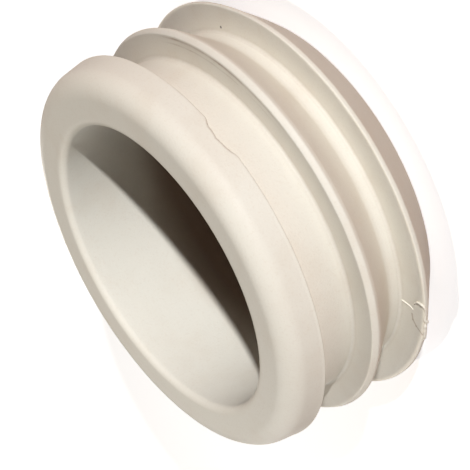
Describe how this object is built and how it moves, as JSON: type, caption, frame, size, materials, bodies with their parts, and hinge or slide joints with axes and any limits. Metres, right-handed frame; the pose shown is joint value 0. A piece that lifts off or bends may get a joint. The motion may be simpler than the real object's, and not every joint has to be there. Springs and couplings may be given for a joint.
{
  "type": "rubber flush cone",
  "caption": "Moulded rubber sealing ring with a rounded collar, a plain neck and barbed outer fins that seals a flush pipe in a toilet pan's inlet.",
  "frame": {"origin": "centre of the tail end, on the bore axis, where the part stands on a surface", "axes": "+Z along the bore, from the tail end to the collar; the part is a body of revolution about Z"},
  "size_m": [0.0603, 0.0602, 0.028],
  "materials": {
    "cream_rubber": "matte moulded rubber, cream white, with a slight satin sheen"
  },
  "bodies": {
    "root": {"flush_cone": "cream_rubber"}
  },
  "joints": []
}
